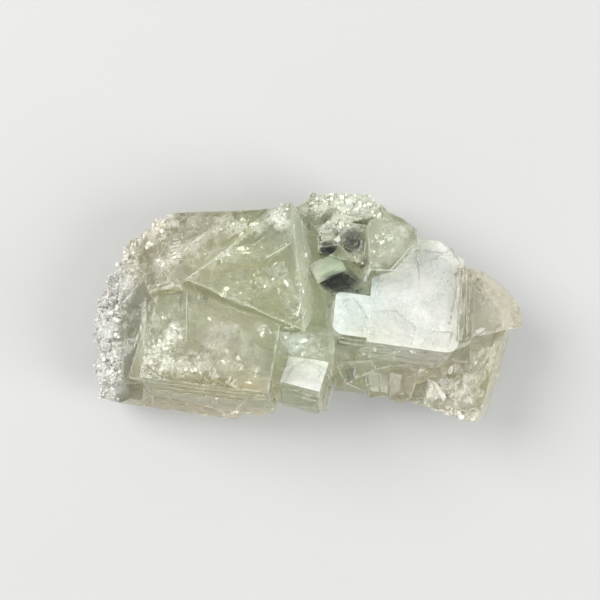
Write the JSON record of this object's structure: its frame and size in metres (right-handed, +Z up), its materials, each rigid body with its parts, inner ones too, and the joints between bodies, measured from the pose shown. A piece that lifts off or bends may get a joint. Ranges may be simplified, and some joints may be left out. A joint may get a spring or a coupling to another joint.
{
  "type": "fluorite crystal cluster",
  "caption": "Small cluster of pale green, see-through fluorite: cubic crystals grown together round an octahedral one, lying on its broken back.",
  "frame": {"origin": "middle of the box round the cluster, at the flat it rests on", "axes": "+X along the cluster's length, +Y across it, +Z up, the way the crystal faces point"},
  "size_m": [0.0524, 0.0278, 0.0181],
  "materials": {
    "fluorite": "see-through pale green crystal with frosted faces and sugary white rims"
  },
  "bodies": {
    "root": {"fluorite_cluster": "fluorite"}
  },
  "joints": []
}
